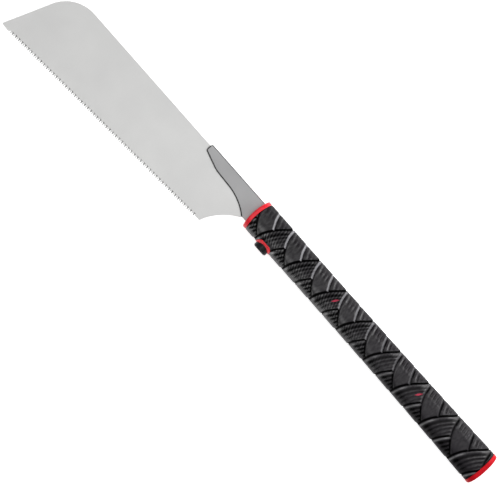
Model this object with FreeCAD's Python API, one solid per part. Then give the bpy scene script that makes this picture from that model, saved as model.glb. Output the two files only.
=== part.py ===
import FreeCAD, Part
import math
import os

# A pull saw with a replaceable blade. All sizes are in millimetres.
# While it is built, X runs along the handle from the collar towards the butt,
# Y points to the back of the blade (the teeth are on the -Y side) and Z is the thickness.
# X = 0 lies near the rear face of the front collar, Y = 0 and Z = 0 are the handle's axis.
# At the end everything moves so that the origin is the bottom centre of the whole saw.

V = FreeCAD.Vector
UP = V(0, 0, 1)

# Handle: flat sides and fully rounded edges, with a slight waist and a flare towards the butt
WAIST_X = 110.0
WAIST_HALF_HEIGHT = 17.85
FLARE_RADIUS = 11900.0
HALF_THICKNESS = 12.0
MIDDLE_OVERLAP = 9.0
RUBBER = 2.6
CORE_WALL = 3.0
RIB_THICKNESS = 2.0
RIB_SPACING = 45.0
END_INSET = 0.1

# Curved faces across the handle: place on the axis, way that the face bulges, radius
COLLAR_FRONT = (-3.8, -1, 62.0)
COLLAR_REAR = (0.5, -1, 62.0)
CAP_FRONT = (344.2, 1, 170.0)
CAP_REAR = (349.4, 1, 105.0)
ZONE_HALF = 26.0
ENVELOPE_FRONT = -12.0
ENVELOPE_REAR = 360.0
PLUG_LENGTH = 10.0
PEG_RADIUS = 1.5
PEG_LENGTH = 4.0
PEG_PLACES = ((-5.0, 6.5), (5.0, -6.5))

# Windows through the rubber that show the core, one pair on each side of the handle
WINDOW_PLACES = ((118.7, 1.8), (246.1, 2.5))
WINDOW_LENGTH = 9.2
WINDOW_WIDTH = 2.1
WINDOW_TILT = 58.0
WINDOW_RECESS = 1.0

# Blade
BLADE_THICKNESS = 0.7
BACK_Y = 11.4
TIP_CORNER = V(-317.9, -65.4, 0)
HEEL_CORNER = V(-34.3, -47.9, 0)
HEEL_MIDDLE = V(-21.5, -25.4, 0)
HEEL_TOP = V(-8.7, -14.5, 0)
END_ANGLE = 69.8
END_RADIUS = 39.0
TIP_ROUNDING = 1.2
TIP_LAND_END = V(-307.0, -66.0, 0)
TOOTH_LINE_START = V(-306.0, -66.7, 0)
TOOTH_LINE_END = V(-41.7, -49.7, 0)
HEEL_LAND_START = V(-40.9, -48.1, 0)
TOOTH_COUNT = 118
TOOTH_DEPTH = 3.6
TOOTH_SHOULDER = (0.45, 0.78)
TOOTH_TIP_SHARE = 0.85
TOOTH_BEVEL = 1.1
TOOTH_LAND = 0.1
SHOULDER_Y = -12.0
TANG_LOW_Y = -1.5
TANG_RISE_START = 4.0
TANG_RISE_END = 13.0
TANG_END = 70.0
TANG_ROOM = 0.2
SHOULDER_RUN = 1.0
SEAT_START = -80.0
SEAT_RAMP = 1.0

# Folded blade holder
SHEET = 1.5
CHANNEL = 0.8
HOLDER_TOP = 13.65
HOLDER_NOSE = -83.2
HOLDER_REAR = 92.0
NOSE_LOW_Y = 5.4
NOSE_TOP_ROUNDING = 1.6
NOSE_LOW_ROUNDING = 2.2
LIP_Y = -12.9
CHEEK_BEND = V(-61.0, -1.0, 0)
CHEEK_BEND_RADIUS = 30.0
CHEEK_LEVEL = V(-40.0, -2.0, 0)
CHEEK_SWEEP = V(-24.0, -5.1, 0)
LIP_START = V(-8.6, LIP_Y, 0)
CHEEK_STEP_X = 14.0
CHEEK_LOW_Y = -0.5
FOLD_ROUNDING = 1.2
HOLDER_THICKNESS = 2 * SHEET + CHANNEL

# Cross pins
PIN_RADIUS = 2.0
PIN_HALF_LENGTH = 7.0
STOP_PIN_PLACE = (66.0, 5.5)
HOLDER_PIN_PLACES = ((78.5, 9.0), (85.0, 3.5))
NOTCH_CLEARANCE = 0.05

# Blade clamp on the toothed side: places along Y, radii about the clamp's axis
CLAMP_X = 28.9
SHOE_FACE_Y = TANG_LOW_Y - 0.02
SHOE_THICKNESS = 3.0
SHOE_RADIUS = 4.0
SHOE_BORE_RADIUS = 4.2
SHOE_BEVEL = 0.4
BALL_RADIUS = 1.8
BALL_DEPTH = 0.9
BALL_CLEARANCE = 0.05
BALL_NECK_RADIUS = 1.2
SCREW_RADIUS = 3.0
SCREW_END_Y = -5.2
SCREW_HEAD_Y = -19.4
NUT_TOP_Y = -7.9
NUT_THICKNESS = 3.2
NUT_WIDTH = 10.0
NUT_BORE_RADIUS = 3.05
BEZEL_HALF_LENGTH = 9.35
BEZEL_HALF_WIDTH = 9.8
BEZEL_CORNER = 5.0
BEZEL_BOWL_RADIUS = 8.35
BEZEL_FLOOR = 2.0
BEZEL_BORE_RADIUS = 3.3
BEZEL_PROUD = 0.5
KNOB_RADIUS = 8.05
KNOB_INNER_Y = -13.6
KNOB_FACE_Y = -22.7
KNOB_FACE_RADIUS = 6.8
KNOB_CHAMFER = 1.2
KNOB_EDGE = 0.4
FLUTE_COUNT = 12
FLUTE_RADIUS = 1.3
FLUTE_CENTRE_RADIUS = 8.75
FLUTE_START_Y = -15.4
COIN_SLOT_WIDTH = 2.0
COIN_SLOT_LENGTH = 10.0
COIN_SLOT_DEPTH = 1.6


def segment(start, end):
    return Part.LineSegment(start, end).toShape()


def arc(start, middle, end):
    return Part.Arc(start, middle, end).toShape()


def polyline(points):
    return [segment(first, second) for first, second in zip(points, points[1:])]


def plate(edges, thickness):
    """Closed outline in the XY plane, thickened equally to both sides of Z = 0."""
    outline = Part.Wire(Part.__sortEdges__(edges))
    return Part.Face(outline).extrude(UP * thickness).translated(UP * (-thickness / 2))


def centred_box(x_from, x_to, y_from, y_to, half_z):
    return Part.makeBox(x_to - x_from, y_to - y_from, 2 * half_z, V(x_from, y_from, -half_z))


def cross_pin(place, radius, half_length):
    return Part.makeCylinder(radius, 2 * half_length, V(place[0], place[1], -half_length), UP)


def clamp_cylinder(radius, y_outer, y_inner):
    """Cylinder about the clamp's axis, from y_outer up to y_inner."""
    return Part.makeCylinder(radius, y_inner - y_outer, V(CLAMP_X, y_outer, 0), V(0, 1, 0))


def clamp_turning(profile):
    """Solid of revolution about the clamp's axis from (radius, y) corners."""
    corners = [V(CLAMP_X + radius, y, 0) for radius, y in profile]
    face = Part.Face(Part.makePolygon(corners + corners[:1]))
    return face.revolve(V(CLAMP_X, 0, 0), V(0, 1, 0), 360)


def vertical_edge(solid, x, y):
    """The edge along Z that passes nearest to (x, y)."""
    upright = [edge for edge in solid.Edges if edge.BoundBox.ZLength > 0.5 * solid.BoundBox.ZLength]
    return min(upright, key=lambda edge: math.dist((x, y), edge.CenterOfMass[:2]))


# ---------------------------------------------------------------- handle envelope

def handle_edge(inset, front, rear, side):
    """The handle's rounded edge and the flat half behind it, on the +Y (1) or -Y (-1) side."""
    centre = V(WAIST_X, WAIST_HALF_HEIGHT + FLARE_RADIUS, 0)
    radius = HALF_THICKNESS - inset
    round_y = WAIST_HALF_HEIGHT - HALF_THICKNESS
    flat_y = round_y - MIDDLE_OVERLAP
    corners = [V(WAIST_X, round_y, radius), V(WAIST_X, flat_y, radius),
               V(WAIST_X, flat_y, -radius), V(WAIST_X, round_y, -radius)]
    rounding = arc(corners[3], V(WAIST_X, round_y + radius, 0), corners[0])
    profile = Part.Face(Part.Wire(polyline(corners) + [rounding]))
    start, end = (math.degrees((x - WAIST_X) / FLARE_RADIUS) for x in (front - 1, rear + 1))
    edge = profile.rotated(centre, UP, start).revolve(centre, UP, end - start)
    return edge.rotated(V(0, 0, 0), V(1, 0, 0), 90 - 90 * side)


def handle_body(inset, front, rear):
    """The handle's outer shape, moved inwards by inset, between two places along X."""
    body = handle_edge(inset, front, rear, 1).fuse(handle_edge(inset, front, rear, -1))
    slab = centred_box(front, rear, -ZONE_HALF, ZONE_HALF, ZONE_HALF)
    return body.removeSplitter().common(slab)


def face_arc(face):
    """Line of a curved end face, seen along Z."""
    place, bulge, radius = face
    sag = radius - math.sqrt(radius ** 2 - ZONE_HALF ** 2)
    side = place - bulge * sag
    return arc(V(side, -ZONE_HALF, 0), V(place, 0, 0), V(side, ZONE_HALF, 0))


def zone(front_face, rear_face):
    """Everything between two curved faces across the handle."""
    front = face_arc(front_face)
    rear = face_arc(rear_face)
    sides = [segment(front.firstVertex().Point, rear.firstVertex().Point),
             segment(front.lastVertex().Point, rear.lastVertex().Point)]
    return plate([front, rear] + sides, 2 * ZONE_HALF)


# ---------------------------------------------------------------- blade and holder

def tooth_line():
    """Points of the toothed edge from the tip corner to the heel corner."""
    pitch = (TOOTH_LINE_END - TOOTH_LINE_START) / TOOTH_COUNT
    inward = V(-pitch.y, pitch.x, 0).normalize() * TOOTH_DEPTH
    shoulder_share, shoulder_height = TOOTH_SHOULDER
    points = [TIP_CORNER, TIP_LAND_END]
    for number in range(TOOTH_COUNT):
        start = TOOTH_LINE_START + pitch * number
        points.append(start + inward)
        points.append(start + pitch * shoulder_share + inward * (1 - shoulder_height))
        points.append(start + pitch * TOOTH_TIP_SHARE)
    return points + [TOOTH_LINE_END + inward, HEEL_LAND_START, HEEL_CORNER]


def tooth_bevel(start, end, side):
    """Wedge that sharpens one edge of a tooth; the slope faces up for side 1 and down for -1."""
    run = end - start
    into = V(-run.y, run.x, 0).normalize()
    lift = UP * (side * BLADE_THICKNESS)
    root = start - UP * (side * (BLADE_THICKNESS / 2 - TOOTH_LAND))
    corners = [root, root + lift + into * TOOTH_BEVEL, root + lift - into * TOOTH_LAND, root]
    return Part.Face(Part.makePolygon(corners)).extrude(run)


def tooth_bevels():
    """Every tooth is sharpened on one side only, turn and turn about."""
    edge = tooth_line()
    wedges = []
    for number in range(TOOTH_COUNT):
        side = 1 if number % 2 else -1
        gullet, shoulder, tip, next_gullet = edge[3 * number + 2:3 * number + 6]
        wedges += [tooth_bevel(gullet, shoulder, side), tooth_bevel(tip, next_gullet, side)]
    return wedges


def make_saw_blade():
    end_run = (BACK_Y - TIP_CORNER.y) / math.tan(math.radians(END_ANGLE))
    back_corner = V(TIP_CORNER.x + end_run, BACK_Y, 0)
    seat_y = HOLDER_TOP - SHEET - NOTCH_CLEARANCE
    outline = polyline([
        HEEL_TOP, V(HEEL_TOP.x + SHOULDER_RUN, SHOULDER_Y, 0), V(TANG_RISE_START, SHOULDER_Y, 0),
        V(TANG_RISE_END, TANG_LOW_Y, 0), V(TANG_END, TANG_LOW_Y, 0), V(TANG_END, seat_y, 0),
        V(SEAT_START, seat_y, 0), V(SEAT_START - SEAT_RAMP, BACK_Y, 0), back_corner, TIP_CORNER])
    heel = arc(HEEL_CORNER, HEEL_MIDDLE, HEEL_TOP)
    blade = plate(outline + [heel] + polyline(tooth_line()), BLADE_THICKNESS)
    blade = blade.makeFillet(END_RADIUS, [vertical_edge(blade, back_corner.x, back_corner.y)])
    blade = blade.makeFillet(TIP_ROUNDING, [vertical_edge(blade, TIP_CORNER.x, TIP_CORNER.y)])
    notch_radius = PIN_RADIUS + NOTCH_CLEARANCE
    notch_x, notch_y = STOP_PIN_PLACE
    notch = cross_pin(STOP_PIN_PLACE, notch_radius, BLADE_THICKNESS)
    mouth = centred_box(notch_x, TANG_END + 1, notch_y - notch_radius, notch_y + notch_radius,
                        BLADE_THICKNESS)
    return blade.cut(notch.fuse(mouth)).cut(tooth_bevels())


def holder_profile(thickness):
    """Side profile of the folded holder, a flat plate of the given thickness."""
    cheek = [LIP_START, V(CHEEK_STEP_X, LIP_Y, 0), V(CHEEK_STEP_X, CHEEK_LOW_Y, 0),
             V(HOLDER_REAR, CHEEK_LOW_Y, 0), V(HOLDER_REAR, HOLDER_TOP, 0),
             V(HOLDER_NOSE, HOLDER_TOP, 0), V(HOLDER_NOSE, NOSE_LOW_Y, 0),
             CHEEK_BEND, CHEEK_LEVEL]
    sweep = arc(CHEEK_LEVEL, CHEEK_SWEEP, LIP_START)
    body = plate(polyline(cheek) + [sweep], thickness)
    for x, y, radius in ((HOLDER_NOSE, HOLDER_TOP, NOSE_TOP_ROUNDING),
                         (HOLDER_NOSE, NOSE_LOW_Y, NOSE_LOW_ROUNDING),
                         (CHEEK_BEND.x, CHEEK_BEND.y, CHEEK_BEND_RADIUS)):
        body = body.makeFillet(radius, [vertical_edge(body, x, y)])
    return body


def make_blade_holder():
    body = holder_profile(HOLDER_THICKNESS)
    fold = [edge for edge in body.Edges
            if edge.BoundBox.YMin > HOLDER_TOP - 0.01 and edge.BoundBox.XLength > 100]
    body = body.makeFillet(FOLD_ROUNDING, fold)
    channel = centred_box(HOLDER_NOSE - 1, HOLDER_REAR + 1, LIP_Y - 1, HOLDER_TOP - SHEET,
                          CHANNEL / 2)
    body = body.cut(channel)
    for place in (STOP_PIN_PLACE,) + HOLDER_PIN_PLACES:
        body = body.cut(cross_pin(place, PIN_RADIUS, HOLDER_THICKNESS))
    return body


def make_stop_pin():
    return cross_pin(STOP_PIN_PLACE, PIN_RADIUS, PIN_HALF_LENGTH)


def make_holder_pins():
    return Part.makeCompound([cross_pin(place, PIN_RADIUS, PIN_HALF_LENGTH)
                              for place in HOLDER_PIN_PLACES])


# ---------------------------------------------------------------- handle pieces

def collar_pegs():
    pegs = [Part.makeCylinder(PEG_RADIUS, PEG_LENGTH + 1, V(-1, y, z), V(1, 0, 0))
            for y, z in PEG_PLACES]
    return pegs[0].fuse(pegs[1])


def make_front_collar():
    collar = handle_body(END_INSET, ENVELOPE_FRONT, -ENVELOPE_FRONT)
    collar = collar.common(zone(COLLAR_FRONT, COLLAR_REAR))
    return collar.fuse(collar_pegs()).cut(holder_profile(HOLDER_THICKNESS))


def make_butt_cap():
    plug_front = CAP_FRONT[0] - PLUG_LENGTH
    cap = handle_body(END_INSET, plug_front, ENVELOPE_REAR).common(zone(CAP_FRONT, CAP_REAR))
    plug = handle_body(RUBBER + CORE_WALL, plug_front, ENVELOPE_REAR)
    plug = plug.common(zone(COLLAR_REAR, CAP_FRONT))
    hollow = handle_body(RUBBER + 2 * CORE_WALL, plug_front - 1, CAP_FRONT[0])
    return cap.fuse(plug).cut(hollow)


def window_lenses(depth_from, depth_to):
    """Lens-shaped prisms through both sides of the handle, between two depths from its middle."""
    half_length = WINDOW_LENGTH / 2
    half_width = WINDOW_WIDTH / 2
    ends = (V(-half_length, 0, 0), V(half_length, 0, 0))
    lens = Part.Face(Part.Wire([arc(ends[0], V(0, half_width, 0), ends[1]),
                                arc(ends[1], V(0, -half_width, 0), ends[0])]))
    prisms = []
    for x, y in WINDOW_PLACES:
        for side_turn in (0, 180):
            prism = lens.extrude(UP * (depth_to - depth_from))
            prism.rotate(V(0, 0, 0), UP, WINDOW_TILT)
            prism.translate(V(x, y, depth_from))
            prism.rotate(V(x, 0, 0), V(1, 0, 0), side_turn)
            prisms.append(prism)
    return Part.makeCompound(prisms)


def bezel_seat():
    """Block with rounded corners about the clamp's axis that the bezel fills."""
    depth = NUT_TOP_Y - NUT_THICKNESS + ZONE_HALF
    block = Part.makeBox(2 * BEZEL_HALF_LENGTH, depth, 2 * BEZEL_HALF_WIDTH,
                         V(CLAMP_X - BEZEL_HALF_LENGTH, -ZONE_HALF, -BEZEL_HALF_WIDTH))
    corners = [edge for edge in block.Edges
               if edge.BoundBox.XLength < 0.01 and edge.BoundBox.ZLength < 0.01]
    return block.makeFillet(BEZEL_CORNER, corners)


def make_grip_sleeve():
    grip_zone = zone(COLLAR_REAR, CAP_FRONT)
    outer = handle_body(0, ENVELOPE_FRONT, ENVELOPE_REAR).common(grip_zone)
    sleeve = outer.cut(handle_body(RUBBER, ENVELOPE_FRONT, ENVELOPE_REAR)).cut(bezel_seat())
    return sleeve.cut(window_lenses(HALF_THICKNESS - RUBBER - 2, HALF_THICKNESS + 2))


def core_hollow():
    """Empty space inside the core behind the holder, crossed by stiffening ribs."""
    start = HOLDER_REAR + 2 * CORE_WALL
    hollow = handle_body(RUBBER + CORE_WALL, start, ENVELOPE_REAR)
    rib_x = start + RIB_SPACING
    while rib_x < CAP_FRONT[0] - RIB_SPACING / 2:
        rib = centred_box(rib_x, rib_x + RIB_THICKNESS, -ZONE_HALF, ZONE_HALF, ZONE_HALF)
        hollow = hollow.cut(rib)
        rib_x += RIB_SPACING
    return hollow


def make_core():
    core = handle_body(RUBBER, ENVELOPE_FRONT, ENVELOPE_REAR).common(zone(COLLAR_REAR, CAP_FRONT))
    pads = window_lenses(HALF_THICKNESS - RUBBER - 1, HALF_THICKNESS - WINDOW_RECESS)
    core = core.fuse(pads.Solids).cut(core_hollow())
    nut_x = CLAMP_X - NUT_WIDTH / 2
    nut_pocket = centred_box(nut_x, nut_x + NUT_WIDTH, NUT_TOP_Y - NUT_THICKNESS, NUT_TOP_Y,
                             NUT_WIDTH / 2)
    tang_room = centred_box(CHEEK_STEP_X, TANG_END + TANG_ROOM, TANG_LOW_Y - TANG_ROOM, CHEEK_LOW_Y,
                            CHANNEL / 2)
    rooms = [holder_profile(HOLDER_THICKNESS), nut_pocket, tang_room, bezel_seat(),
             clamp_cylinder(SHOE_BORE_RADIUS, NUT_TOP_Y, CHEEK_LOW_Y), collar_pegs()]
    rooms += [cross_pin(place, PIN_RADIUS, PIN_HALF_LENGTH)
              for place in (STOP_PIN_PLACE,) + HOLDER_PIN_PLACES]
    for room in rooms:
        core = core.cut(room)
    return core


def core_half(core, side):
    """One half of the core, split at its middle plane; side is 1 above and -1 below."""
    half = Part.makeBox(ENVELOPE_REAR - ENVELOPE_FRONT, 2 * ZONE_HALF, ZONE_HALF,
                        V(ENVELOPE_FRONT, -ZONE_HALF, (side - 1) / 2 * ZONE_HALF))
    return core.common(half)


# ---------------------------------------------------------------- clamp pieces

def make_knob_bezel():
    seat_y = NUT_TOP_Y - NUT_THICKNESS
    cup = bezel_seat().common(handle_body(-BEZEL_PROUD, ENVELOPE_FRONT, HOLDER_REAR))
    cup = cup.cut(clamp_cylinder(BEZEL_BOWL_RADIUS, -ZONE_HALF, seat_y - BEZEL_FLOOR))
    return cup.cut(clamp_cylinder(BEZEL_BORE_RADIUS, -ZONE_HALF, seat_y))


def make_clamp_knob():
    knob = clamp_turning([
        (0, KNOB_INNER_Y), (KNOB_RADIUS - KNOB_EDGE, KNOB_INNER_Y),
        (KNOB_RADIUS, KNOB_INNER_Y - KNOB_EDGE), (KNOB_RADIUS, KNOB_FACE_Y + KNOB_CHAMFER),
        (KNOB_FACE_RADIUS, KNOB_FACE_Y), (0, KNOB_FACE_Y)])
    for number in range(FLUTE_COUNT):
        turn = 2 * math.pi * (number + 0.5) / FLUTE_COUNT
        centre = V(CLAMP_X + FLUTE_CENTRE_RADIUS * math.cos(turn), FLUTE_START_Y,
                   FLUTE_CENTRE_RADIUS * math.sin(turn))
        knob = knob.cut(Part.makeCylinder(FLUTE_RADIUS, KNOB_RADIUS, centre, V(0, -1, 0)))
    slot = Part.makeBox(COIN_SLOT_LENGTH, COIN_SLOT_DEPTH, COIN_SLOT_WIDTH,
                        V(CLAMP_X - COIN_SLOT_LENGTH / 2, KNOB_FACE_Y, -COIN_SLOT_WIDTH / 2))
    return knob.cut(slot).cut(clamp_cylinder(SCREW_RADIUS, SCREW_HEAD_Y, KNOB_INNER_Y))


def ball_centre():
    return V(CLAMP_X, SHOE_FACE_Y - SHOE_THICKNESS + BALL_DEPTH, 0)


def make_clamp_screw():
    shank = clamp_cylinder(SCREW_RADIUS, SCREW_HEAD_Y, SCREW_END_Y)
    neck = clamp_cylinder(BALL_NECK_RADIUS, SCREW_END_Y, ball_centre().y)
    ball = Part.makeSphere(BALL_RADIUS, ball_centre())
    return shank.fuse(neck).fuse(ball).removeSplitter()


def make_clamp_shoe():
    rear_y = SHOE_FACE_Y - SHOE_THICKNESS
    shoe = clamp_turning([
        (0, SHOE_FACE_Y), (SHOE_RADIUS - SHOE_BEVEL, SHOE_FACE_Y),
        (SHOE_RADIUS, SHOE_FACE_Y - SHOE_BEVEL), (SHOE_RADIUS, rear_y), (0, rear_y)])
    return shoe.cut(Part.makeSphere(BALL_RADIUS + BALL_CLEARANCE, ball_centre()))


def make_clamp_nut():
    nut_x = CLAMP_X - NUT_WIDTH / 2
    nut = centred_box(nut_x, nut_x + NUT_WIDTH, NUT_TOP_Y - NUT_THICKNESS, NUT_TOP_Y, NUT_WIDTH / 2)
    return nut.cut(clamp_cylinder(NUT_BORE_RADIUS, NUT_TOP_Y - NUT_THICKNESS, NUT_TOP_Y))


def make_all():
    core = make_core()
    return {
        "saw_blade": make_saw_blade(),
        "blade_holder": make_blade_holder(),
        "stop_pin": make_stop_pin(),
        "holder_pins": make_holder_pins(),
        "front_collar": make_front_collar(),
        "core_shell_upper": core_half(core, 1),
        "core_shell_lower": core_half(core, -1),
        "grip_sleeve": make_grip_sleeve(),
        "butt_cap": make_butt_cap(),
        "knob_bezel": make_knob_bezel(),
        "clamp_knob": make_clamp_knob(),
        "clamp_screw": make_clamp_screw(),
        "clamp_shoe": make_clamp_shoe(),
        "clamp_nut": make_clamp_nut(),
    }


pieces = make_all()
blade_box = pieces["saw_blade"].BoundBox
grip_top = pieces["grip_sleeve"].BoundBox.YMax
middle_x = (blade_box.XMin + CAP_REAR[0]) / 2
middle_y = (blade_box.YMin + grip_top) / 2
to_origin = V(-middle_x, -middle_y, HALF_THICKNESS)

os.makedirs("parts", exist_ok=True)
for name, shape in pieces.items():
    shape.translate(to_origin)
    shape.exportStep("parts/" + name + ".step")
    print(name, "valid", shape.isValid(), "solids", len(shape.Solids), "volume", round(shape.Volume, 1))
print("moved by", [round(value, 3) for value in to_origin])
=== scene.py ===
import math

import bpy
import numpy as np
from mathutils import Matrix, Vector


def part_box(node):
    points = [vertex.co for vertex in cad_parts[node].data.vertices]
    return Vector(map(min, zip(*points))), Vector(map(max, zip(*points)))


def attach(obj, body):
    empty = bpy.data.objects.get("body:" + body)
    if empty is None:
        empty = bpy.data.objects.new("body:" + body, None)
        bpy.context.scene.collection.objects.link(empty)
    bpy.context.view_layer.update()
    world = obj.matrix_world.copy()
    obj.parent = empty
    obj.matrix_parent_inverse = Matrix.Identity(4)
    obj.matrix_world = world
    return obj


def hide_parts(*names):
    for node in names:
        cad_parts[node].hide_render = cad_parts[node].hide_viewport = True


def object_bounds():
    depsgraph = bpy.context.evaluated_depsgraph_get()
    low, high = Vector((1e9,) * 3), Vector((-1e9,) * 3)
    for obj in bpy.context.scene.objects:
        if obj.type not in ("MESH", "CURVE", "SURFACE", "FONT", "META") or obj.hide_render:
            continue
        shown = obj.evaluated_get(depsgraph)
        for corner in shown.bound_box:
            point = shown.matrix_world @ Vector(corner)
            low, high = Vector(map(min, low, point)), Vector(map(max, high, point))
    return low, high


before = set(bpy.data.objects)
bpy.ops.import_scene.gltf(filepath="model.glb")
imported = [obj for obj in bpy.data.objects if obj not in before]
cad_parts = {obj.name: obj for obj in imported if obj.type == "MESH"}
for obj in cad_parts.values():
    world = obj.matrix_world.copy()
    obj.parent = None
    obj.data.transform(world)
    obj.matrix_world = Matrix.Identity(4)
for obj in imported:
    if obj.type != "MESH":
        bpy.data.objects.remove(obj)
cad_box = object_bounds()

# A pull saw that lies on its side. Everything is in metres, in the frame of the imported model.
# x, y and z below are measured from the handle's own axis: x = 0 lies near the rear face of the
# front collar, y points to the back of the blade, and z is the thickness.
MM = 0.001
grip_low, grip_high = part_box("grip_sleeve")
holder_low, holder_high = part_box("blade_holder")
shoe_low, shoe_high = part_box("clamp_shoe")
knob_low, knob_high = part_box("clamp_knob")
bezel_low, bezel_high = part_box("knob_bezel")

# The handle: flat sides and fully rounded edges, a slight waist and a flare towards the butt
WAIST_X = 110 * MM
WAIST_HALF_HEIGHT = 17.85 * MM
FLARE_RADIUS = 11.9
HALF_THICKNESS = (grip_high.z - grip_low.z) / 2
RUBBER = 2.6 * MM

# Curved faces across the handle: place on the axis, way that the face bulges, radius
COLLAR_FRONT = (-3.8 * MM, -1, 62 * MM)
COLLAR_REAR = (0.5 * MM, -1, 62 * MM)
CAP_FRONT = (344.2 * MM, 1, 170 * MM)
CAP_REAR = (349.4 * MM, 1, 105 * MM)

HANDLE_ORIGIN = np.array([grip_low.x - COLLAR_REAR[0], (grip_low.y + grip_high.y) / 2,
                          (grip_low.z + grip_high.z) / 2])

# The moulded wrap: straps that cross at a slant and repeat along the handle. A place along the
# handle in millimetres is a polynomial of the number of turns; a strap line is a polynomial of
# the height across the handle, which runs from -1 to 1, and gives a number of turns.
TURN_TO_PLACE = (22.37, 42.08, -0.502, 0.0813)
RISING_LINE = (0.0, 0.2623, 0.1031, -0.0249)
LOWER_RISING_LINE = (0.5582, 0.3684, 0.1343)
FALLING_LINE = (0.512, -0.287, 0.1574)
FALLING_CREST = (0.5953, -0.2102, 0.201, -0.1153)
UPPER_FALLING_LINE = (1.0604, -0.3492, 0.1273)
LOWER_LIMIT = -0.07
UPPER_LIMIT = 0.10

# Relief of the wrap, in millimetres, and where along the handle (x) or across it (height) it fades
WALL_FOOT = 1.25
WALL_WIDTH = 2.9
WALL_DEPTH = 1.45
WALL_SHARE = 0.3
SHADE_WIDTH = 2.2
CREST_DEPTH = 0.45
CREST_GAP = 4.6
LEAST_CREST_GAP = 1.8
RIB_PITCH = 4.4
RIB_DEPTH = 0.35
RIB_RISE = (0.05, 0.45)
RIB_FADE = (0.85, 0.95)
CORD_PLACES = (0.055, 0.13, 0.32, 0.52, 0.73, 0.94, 1.4)
CORD_PHASES = (0.0, 0.5, 1.0, 2.0, 3.0, 4.0, 6.2)
CORD_LEAN = 0.55
GROOVE_DEPTH = 0.65
BEAD_PITCH = 2.0
BEAD_DEPTH = 0.38
BEAD_HEIGHT = (0.55, 0.7)
BEAD_FADE = (0.88, 0.97)
WEAVE_PITCH = 2.2
WEAVE_START = (110.0, 190.0)
WEAVE_HEIGHT = (0.4, 0.6)
STRAND_PITCH = 3.0
STRAND_DEPTH = 0.26
STRAND_FADE = (130.0, 230.0)
STRAND_HEIGHT = (0.5, 0.8)
EDGE_FADE = (0.8, 0.97)
EDGE_FADE_SHARE = 0.6
COLLAR_FADE = (3.0, 7.0)
BEZEL_PAD = (0.5, 3.0)
BEZEL_PAD_SHARE = 0.85
END_ROUNDING = 0.5
END_REACH = 1.2 * MM

# Painted light on the wrap along the handle: painted highlights on the lit walls and lower rims, painted
# shade in the grooves, and specular strength that falls along and across the handle as painted sheen
RIM_PLACE = 1.65
RIM_WIDTH = 1.1
RIM_FADE = (170.0, 250.0)
RIM_FADE_SHARE = 0.6
RIM_HIGHLIGHT_START = (140.0, 230.0)
RIM_HIGHLIGHT_HEIGHT = (0.0, 0.3)
WALL_HIGHLIGHT_PLACES = (40.0, 110.0, 190.0, 270.0)
WALL_HIGHLIGHT_SHARES = (1.0, 0.6, 0.26, 0.03)
SUNK_SHARE = 0.5
PAINTED_SHEEN_PLACES = (0.0, 120.0, 220.0, 340.0)
STRAP_SHINE_AND_PAINTED_SHEEN = (0.56, 0.51, 0.34, 0.26)
CORD_SHINE_AND_PAINTED_SHEEN = (1.10, 0.98, 0.56, 0.38)
LOWER_PAINTED_SHEEN = (2.0, 1.8, 0.0, -0.6)
LOWER_PAINTED_SHEEN_HEIGHT = (0.1, 0.4)
UPPER_PAINTED_SHEEN = (-0.55, -0.55, -0.2, 0.9)
UPPER_PAINTED_SHEEN_HEIGHT = (0.35, 0.75)

# The grip's mesh
LENGTH_STEP = 0.54 * MM
FLAT_POINTS = 17
EDGE_POINTS = 54
INNER_RINGS = 24

# Windows in the grip, where the red core shows
WINDOW_PLACES = ((118.7 * MM, 1.8 * MM), (246.1 * MM, 2.5 * MM))
WINDOW_LENGTH = 9.2 * MM
WINDOW_WIDTH = 2.1 * MM
WINDOW_TILT = math.radians(58)

# The clamp: a bezel with a bowl, seated in the grip's edge, and a fluted knob in it
CLAMP_X = (shoe_low.x + shoe_high.x) / 2 - HANDLE_ORIGIN[0]
BEZEL_HALF_LENGTH = (bezel_high.x - bezel_low.x) / 2
BEZEL_HALF_WIDTH = (bezel_high.z - bezel_low.z) / 2
BEZEL_CORNER = 5.0 * MM
BEZEL_SEAT = bezel_high.y - HANDLE_ORIGIN[1]
BEZEL_BOWL_RADIUS = 8.35 * MM
BEZEL_FLOOR = 2.0 * MM
BEZEL_BORE = 3.3 * MM
BEZEL_PROUD = 0.5 * MM
BEZEL_ROUNDING = 0.3 * MM
KNOB_RADIUS = (knob_high.x - knob_low.x) / 2
KNOB_FACE = knob_low.y - HANDLE_ORIGIN[1]
KNOB_INNER = knob_high.y - HANDLE_ORIGIN[1]
KNOB_FACE_RADIUS = 6.8 * MM
KNOB_CHAMFER = 1.2 * MM
KNOB_ROUNDING = 0.4 * MM
DISH_RADIUS = 5.4 * MM
DISH_CENTRE = 2.5 * MM
DISH_DEPTH = 0.4 * MM
FLUTE_COUNT = 12
FLUTE_DEPTH = 0.7 * MM
FLUTE_START = -15.4 * MM
SCREW_RADIUS = 3.0 * MM
SCREW_HEAD = -19.4 * MM
COIN_SLOT = (10.0 * MM, 2.0 * MM, 1.6 * MM)

# The red end pieces
END_INSET = 0.1 * MM
COLLAR_ROUNDING = (1.3 * MM, 0.35 * MM)
CAP_ROUNDING = (0.35 * MM, 1.4 * MM)
HOLDER_GAP = 0.08 * MM

# Steel sheet: soft edges, and painted contact shade on the blade where the holder rests on it, in the colour
# that also paints shade on the holder's steep edge faces
SHEET_BEVEL = 0.9 * MM
CONTACT_SHADE_REACH = 1.6 * MM
PAINTED_SHADE_COLOR = (0.02, 0.02, 0.02)

# Camera: straight down on the saw, which lies askew in the picture
PICTURE_WIDTH = 509.5 * MM
PICTURE_TURN = 48.55
LOOK_AT = (18.2 * MM, -25.0 * MM, 0.0)
CAMERA_HEIGHT = 2.5
SENSOR_MM = 36.0

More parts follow.
